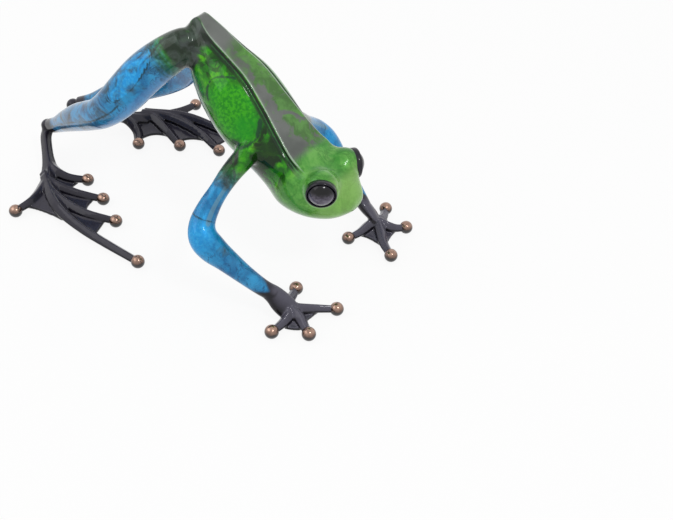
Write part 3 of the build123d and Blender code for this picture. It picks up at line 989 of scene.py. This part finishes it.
dome_height, dome_depth = 3.9 * MM, 3 * MM
rim_rise, rim_base, rim_depth = 0.85 * MM, 0.15 * MM, 2.6 * MM
rim_play = 0.02 * MM
curve_points = 14
dome_round = (eye_radius**2 + dome_height**2) / (2 * dome_height)
dome = [(0, -dome_depth), (eye_radius, -dome_depth)]
for a in np.linspace(math.asin(eye_radius / dome_round), 0, curve_points):
    dome.append((dome_round * math.sin(a), dome_height - dome_round + dome_round * math.cos(a)))
rim_middle, rim_half = (rim_radius + eye_radius) / 2, (rim_radius - eye_radius) / 2
ring = [(eye_radius + rim_play, -rim_depth)]
for a in np.linspace(0, math.pi, curve_points):
    ring.append((rim_middle - rim_half * 0.98 * math.cos(a), rim_base + rim_rise * math.sin(a)))
ring.append((rim_radius - rim_play, -rim_depth))
eye_pieces = {}
eye_kinds = [("eye_dome", dome, "eye", "eye_glass"), ("eye_ring", ring, "eye_rim", "black_patina")]
for side in sides:
    for name, profile, node, slot in eye_kinds:
        piece = turned(f"{side}_{name}", profile, side)
        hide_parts(f"{side}_{node}")
        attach(piece, "root")
        eye_pieces[side, name] = piece
print("eye pieces:", len(eye_pieces))

# %% [markdown]
# ## Writing shaders as sums
# A material's pattern is arithmetic on masks and noise. A small class
# stands for a value in the node tree, so that a sum or a product of two
# values adds the Math node for it. All other nodes come from one method.


# %% Shader arithmetic
class Value:
    """A value in a node tree that can be added, multiplied and taken away."""

    def __init__(self, nodes, socket):
        self.nodes, self.socket = nodes, socket

    def math(self, operation, first, second):
        return self.nodes.node("ShaderNodeMath", {"operation": operation}, {0: first, 1: second})

    def __add__(self, other):
        return self.math("ADD", self, other)

    def __sub__(self, other):
        return self.math("SUBTRACT", self, other)

    def __rsub__(self, other):
        return self.math("SUBTRACT", other, self)

    def __mul__(self, other):
        return self.math("MULTIPLY", self, other)

    def __abs__(self):
        return self.math("ABSOLUTE", self, 0)

    __radd__ = __add__
    __rmul__ = __mul__

    def step(self, low, high):
        """A smooth step from 0 at low to 1 at high."""
        settings = {"interpolation_type": "SMOOTHSTEP"}
        return self.nodes.node("ShaderNodeMapRange", settings, {0: self, 1: low, 2: high})

    def band(self, low, high):
        """1 where the value is near 0, fading out from low to high."""
        return 1 - abs(self).step(low, high)


class Nodes:
    """A node tree."""

    def __init__(self, tree):
        self.tree = tree

    def node(self, kind, settings=None, inputs=None, output=0):
        """The value of a new node, with its settings and its inputs."""
        made = self.tree.nodes.new(kind)
        for name, value in (settings or {}).items():
            setattr(made, name, value)
        self.fill(made, inputs or {})
        return Value(self, made.outputs[output])

    def fill(self, made, inputs):
        """Links or sets the inputs of a node."""
        for name, value in inputs.items():
            if isinstance(value, Value):
                self.tree.links.new(value.socket, made.inputs[name])
            else:
                full = (*value, 1) if isinstance(value, tuple) and made.inputs[name].type == "RGBA" else value
                made.inputs[name].default_value = full

    def seen(self):
        """1 for rays that show the white background, 0 for those that light."""
        rays = ("Is Camera Ray", "Is Glossy Ray", "Is Transmission Ray")
        camera, glossy, through = (self.node("ShaderNodeLightPath", output=ray) for ray in rays)
        return (camera + glossy + through).step(0.0, 1.0)


class Paint(Nodes):
    """The node tree of one material."""

    def __init__(self, name, **constants):
        self.material = bpy.data.materials.new(name)
        self.material.use_nodes = True
        super().__init__(self.material.node_tree)
        self.shader = self.tree.nodes["Principled BSDF"]
        self.output = self.tree.nodes["Material Output"]
        for socket, value in constants.items():
            self.shader.inputs[socket.replace("_", " ")].default_value = value

    def mark(self, name):
        """A mask that was left on the points."""
        return self.node("ShaderNodeAttribute", {"attribute_name": name}, output="Fac")

    def cloud(self, size, detail=3.0, rough=0.55, twist=0.0):
        """Noise whose lumps are about as large as a size in metres."""
        place = self.node("ShaderNodeTexCoord", output="Object")
        inputs = {"Vector": place, "Scale": 1 / size, "Detail": detail}
        inputs |= {"Roughness": rough, "Distortion": twist}
        return self.node("ShaderNodeTexNoise", None, inputs)

    def blend(self, share, first, second):
        """The second colour over the first, by a share."""
        first, second = (colour(*c) if isinstance(c, tuple) else c for c in (first, second))
        return self.node("ShaderNodeMix", {"data_type": "RGBA"}, {0: share, 6: first, 7: second}, output=2)

    def layered(self, base, *coats):
        """Coats over a base, each by its own share."""
        for share, coat in coats:
            base = self.blend(share, base, coat)
        return base

    def finish(self, **links):
        """Gives the surface its varying inputs."""
        self.fill(self.shader, {name.replace("_", " "): value for name, value in links.items()})
        return self.material


def colour(red, green, blue):
    """A colour as seen on a screen, from 0 to 255, in the renderer's terms."""
    parts = (v / 255 for v in (red, green, blue))
    return tuple(v / 12.92 if v < 0.04045 else ((v + 0.055) / 1.055) ** 2.4 for v in parts)


print("white is", colour(255, 255, 255))

# %% [markdown]
# ## Translucent patina
# The metal is warmed and brushed with salts in thin layers. Each layer
# mottles, and the edges of the wet areas leave dark curling lines. Wax and
# lacquer go over it all. So the colour is layered from large to small,
# and a clear coat with its own sharp reflections lies on top.
# A few layers are painted light instead: a painted sheen, painted highlights and painted reflections, each
# named where it is laid.


# %% The body's green
def body_green(paint, clouds):
    """Green flanks, a grey-green back partly painted as sheen, dark mottles and dark lines, a painted
    highlight on the ridge and a painted reflection of the floor on the belly.
    """
    big, mid, fine, curl = clouds
    mark, blend = paint.mark, paint.blend
    down, place = mark("down"), mark("station")
    # The head is paler, with fine veins and a bright front
    head = place.step(6.3, 7.1)
    head_skin = paint.layered(
        blend(mid.step(0.35, 0.65), (58, 138, 44), (104, 170, 76)),
        ((curl - 0.5).band(0.01, 0.05) * 0.45, (44, 108, 30)),
        (place.step(8.0, 8.8) * 0.55, (146, 188, 98)),
    )
    jaw = head * down.step(0.30, 0.5) * place.step(8.0, 7.2)
    jaw_skin = blend(curl.step(0.44, 0.56), (58, 128, 40), (92, 160, 56))
    # The flank glows in its oval and is mottled outside it
    glow = blend(fine.step(0.38, 0.62), (14, 128, 0), (52, 160, 0))
    glow = blend(big.step(0.40, 0.62) * 0.7, glow, (6, 138, 14))
    outside = (1 - mark("glow")) * (1 - head) * down.step(1.0, 0.6)
    shade = (mark("shade") + (curl - 0.5) * 1.6).step(0.45, 0.85)
    # A painted reflection of the white floor, pale teal, along the edge of the belly
    pale = (mark("pale") + (mid - 0.5) * 0.8).step(0.25, 0.95)
    belly = blend(fine.step(0.4, 0.6), (70, 118, 104), (106, 146, 138))
    # The back is grey with green mottles, more of them on its left; the grey is partly its own colour and
    # partly a painted sheen, left broadest on the right
    far = mark("across").step(-3.0, 3.0) * 0.20 - 0.05
    nape = place.step(5.2, 6.0) * 0.12
    below_peak = place.step(1.5, 2.2)
    mottle = (curl + far - nape).step(0.50, 0.62) * below_peak
    upper = below_peak * place.step(3.6, 2.8) * 0.8
    back_green = blend(mid.step(0.4, 0.65), (66, 112, 46), (90, 146, 66))
    back = paint.layered(
        blend(big.step(0.35, 0.65), (86, 90, 86), (108, 112, 108)),
        (mottle * 0.9, back_green),
        (upper * mid.step(0.35, 0.6), back_green),
        (place.step(6.0, 6.6), head_skin),
    )
    # Distance past the ridge places a painted highlight along its crest and the lines below it
    past = mark("past")
    span = place.step(0.2, 0.8) * place.step(7.3, 6.4)
    wavy = past - 3.0 - (mid - 0.5) * 1.6
    return paint.layered(
        blend(mid.step(0.38, 0.60), (12, 92, 0), (48, 146, 2)),
        (mid.step(0.52, 0.66) * 0.8, (86, 168, 0)),
        (head * 0.85, head_skin),
        (jaw * 0.8, jaw_skin),
        (mark("glow").step(0.1, 0.8), glow),
        (outside * curl.step(0.50, 0.58) * 0.75, (4, 44, 0)),
        (shade * 0.9, (8, 36, 4)),
        (pale * 0.9, belly),
        (mark("back"), back),
        ((past - 2.1).band(0.4, 1.0) * span * 0.6, (44, 84, 56)),
        (wavy.band(0.3, 1.1) * span * 0.8, (6, 34, 8)),
        ((past - 1.15).band(0.25, 0.85) * span * 0.95, (8, 18, 8)),
        # A painted highlight along the crest of the ridge
        (past.band(0.10, 0.40) * span * 0.6, (178, 190, 178)),
    )


# %% The limbs' blue
def limb_blue(paint, clouds):
    """Blue with dark curling veins, brighter in the ovals, with painted highlights on the arm's front and the
    knee fold and a painted reflection of the floor on the lower side.
    """
    big, mid, fine, curl = clouds
    mark, blend = paint.mark, paint.blend
    veins = (curl - 0.5).band(0.006, 0.030) * (1 - mark("bright") * 0.6)
    # A painted reflection of the white floor on the limbs' lower side
    pale = (mark("pale") + (mid - 0.5) * 0.6).step(0.25, 0.8)
    return paint.layered(
        blend(mid.step(0.36, 0.62), (16, 96, 148), (34, 142, 196)),
        (big.step(0.48, 0.66) * 0.5, (62, 152, 200)),
        (mark("bright") * 0.95, blend(fine.step(0.4, 0.65), (20, 146, 216), (46, 166, 226))),
        (veins * big.step(0.40, 0.60) * 0.65, (6, 56, 100)),
        (pale * 0.5, (90, 144, 200)),
        # Painted highlight down the front of the upper arm
        (mark("facet").step(0.35, 0.60) * 0.55, (108, 146, 160)),
        # Painted highlight on the knee fold
        (mark("knee") * 0.2, (150, 190, 220)),
    )


# %% The whole patina
def fray(area, cloud):
    """An area whose soft edge is broken up by noise."""
    return area + (cloud - 0.5) * 0.5 * (1 - abs(area * 2 - 1))


def patina(name):
    """All layers of colour, each where its mask lies."""
    paint = Paint(name, Coat_Weight=0.9, Coat_Roughness=0.03, Coat_IOR=1.33, IOR=1.5, Specular_IOR_Level=0.1)
    mark, blend = paint.mark, paint.blend
    big, mid, fine = paint.cloud(20 * MM), paint.cloud(7 * MM, 6, 0.62, 0.4), paint.cloud(1.4 * MM, 2)
    curl = paint.cloud(11 * MM, 4, 0.6, 1.6)
    clouds = big, mid, fine, curl
    top, off_back = mark("top"), 1 - mark("back")
    over = fray(mark("blue"), mid).step(0.05, 0.9)
    dusk = (mark("dusk") + (curl - 0.5) * 1.4).step(0.25, 0.75)
    line = 1 - (mark("line") + (mid - 0.5) * 2.4).step(0.10, 0.60)
    black = fray(mark("black"), curl).step(0.2, 0.8)
    # Black, painted lighter where it faces up as a painted sheen, and lighter still on the hands' upper
    # facets as a painted reflection
    black_and_sheen = paint.layered(
        blend(top.step(0.35, 0.97), (14, 12, 20), (52, 50, 62)),
        (mid.step(0.4, 0.6) * 0.4, (34, 31, 42)),
        (mark("hand") * top.step(0.3, 0.8) * 0.7, (92, 90, 104)),
    )
    base = paint.layered(
        body_green(paint, clouds),
        (over.step(0.0, 0.5), blend(mid.step(0.4, 0.6), (20, 82, 78), (72, 142, 138))),
        (over.step(0.4, 1.0), limb_blue(paint, clouds)),
        (dusk * off_back * 0.95, blend(mid.step(0.42, 0.62), (24, 34, 24), (60, 66, 66))),
        (line * off_back * 0.75, (8, 40, 34)),
        (mark("halo") * 0.4, (176, 206, 164)),
        (black, black_and_sheen),
    )
    bump = paint.node("ShaderNodeBump", None, {"Strength": 0.10, "Distance": 0.4 * MM, "Height": fine})
    metal, rough = 0.25 - black * 0.1, 0.32 + mid * 0.12
    return paint.finish(Base_Color=base, Metallic=metal, Roughness=rough, Normal=bump)


for name, piece in metal_pieces.items():
    finish = slots_for[name].replace("patina", "layers")
    piece.data.materials.append(bpy.data.materials.get(finish) or patina(finish))
print("patinas:", [m.name for m in bpy.data.materials if "layers" in m.name])

# %% [markdown]
# ## Bare balls, black rings and glassy eyes
# The balls are rubbed back to pinkish bronze on top, with painted shade darkening the bronze towards their
# sides, and stay black below. The eye is black enamel under clear glass, its lower part painted paler as a
# painted reflection of the floor.

# %% Small finishes
paint = Paint("rubbed_bronze", Coat_Weight=0.5, Coat_Roughness=0.05)
grain = paint.cloud(1.6 * MM, 3)
rubbed = (paint.mark("up") + (grain - 0.5) * 0.35).step(0.08, 0.40)
metal = paint.blend(grain.step(0.3, 0.7), (142, 112, 98), (174, 142, 124))
# Painted shade: the bare bronze darkens away from the top of each ball
metal = paint.blend(paint.mark("up").step(0.90, 0.25) * 0.75, metal, (70, 54, 50))
metal = paint.blend(rubbed, (30, 25, 25), metal)
bronze = paint.finish(Base_Color=metal, Metallic=0.2 + rubbed * 0.75, Roughness=0.30 - rubbed * 0.08)
for piece in ball_pieces:
    piece.data.materials.append(bronze)

paint = Paint("black_rim", Coat_Weight=0.7, Coat_Roughness=0.04, Coat_IOR=1.36, Specular_IOR_Level=0.15)
grain = paint.cloud(1.2 * MM, 2)
ring_colour = paint.blend(grain.step(0.3, 0.7), (16, 14, 24), (26, 24, 36))
black_rim = paint.finish(Base_Color=ring_colour, Roughness=0.25 + grain * 0.15)

paint = Paint("eye_enamel", Coat_Weight=1.0, Coat_Roughness=0.02, Coat_IOR=1.33, Specular_IOR_Level=0.1)
grain = paint.cloud(1.0 * MM, 3)
low = paint.mark("low")
# The lower part of the dome is painted paler as a painted reflection of the floor
eye_floor_reflection = paint.blend(grain.step(0.35, 0.65), (76, 70, 86), (104, 98, 114))
eye_colour = paint.blend((low + (grain - 0.5) * 0.2).step(-0.50, 0.20), (6, 6, 8), eye_floor_reflection)
lash = (paint.mark("out") - 0.90).band(0.02, 0.07)
eye_colour = paint.blend(paint.mark("out").step(0.80, 0.88), eye_colour, (14, 12, 22))
eye_colour = paint.blend(lash * low.step(-0.5, 0.2), eye_colour, (96, 92, 106))
eye_glass = paint.finish(Base_Color=eye_colour, Roughness=0.20 + grain * 0.06)
for (side, name), piece in eye_pieces.items():
    piece.data.materials.append(eye_glass if name == "eye_dome" else black_rim)

paint = Paint("drawn_bronze")
grain = paint.cloud(0.8 * MM, 4)
rod = paint.blend(grain, (150, 112, 70), (184, 146, 100))
bronze_rod = paint.finish(Base_Color=rod, Metallic=0.95, Roughness=0.3 + grain * 0.2)
for joint in ("shoulder", "wrist", "hip", "ankle"):
    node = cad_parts[f"{joint}_dowels"]
    node.data.materials.clear()
    node.data.materials.append(bronze_rod)
print("materials:", len(bpy.data.materials))

# %% [markdown]
# ## Floor, world and lamps
# A white table in a white room. The world lights the figure evenly. A
# small box in front sets sharp highlights on eyes, brows and balls, and a
# large one behind draws the pale sheen on the back.

# %% Stage
bm = bmesh.new()
bmesh.ops.create_grid(bm, x_segments=1, y_segments=1, size=9)
floor = close("floor", bm)
paint = Paint("white_table", Roughness=0.6)
grain = paint.cloud(50 * MM, 2)
paint.finish(Base_Color=paint.blend(grain, (238, 238, 238), (242, 242, 242)))
glare = paint.node("ShaderNodeEmission", None, {"Color": (1.0, 1.0, 1.0), "Strength": 1.0})
seen = paint.seen() * 0.9
mixed = paint.node("ShaderNodeMixShader", None, {0: seen, 1: Value(paint, paint.shader.outputs[0]), 2: glare})
paint.fill(paint.output, {"Surface": mixed})
floor.data.materials.append(paint.material)

world = bpy.data.worlds.new("white_room")
bpy.context.scene.world = world
world.use_nodes = True
nodes = Nodes(world.node_tree)
level = nodes.node("ShaderNodeMapRange", None, {"Value": nodes.seen(), "To Min": 0.72, "To Max": 1.0})
nodes.fill(nodes.tree.nodes["Background"], {"Color": (1.0, 1.0, 1.0), "Strength": level})


def soft_box(name, place, target, width, height, power):
    """A rectangular lamp that looks at a target."""
    lamp = add(name, bpy.data.lights.new(name, "AREA"))
    lamp.data.shape = "RECTANGLE"
    lamp.data.size, lamp.data.size_y = width, height
    lamp.data.energy = power
    lamp.location = place
    lamp.rotation_euler = (Vector(target) - Vector(place)).to_track_quat("-Z", "Y").to_euler()


body_middle = (0, 0, 0.05)
soft_box("front_box", (-0.16, -0.50, 0.76), body_middle, 0.15, 0.11, 1.4)
soft_box("rear_box", (-0.50, 0.42, 0.64), body_middle, 0.75, 0.50, 1.5)
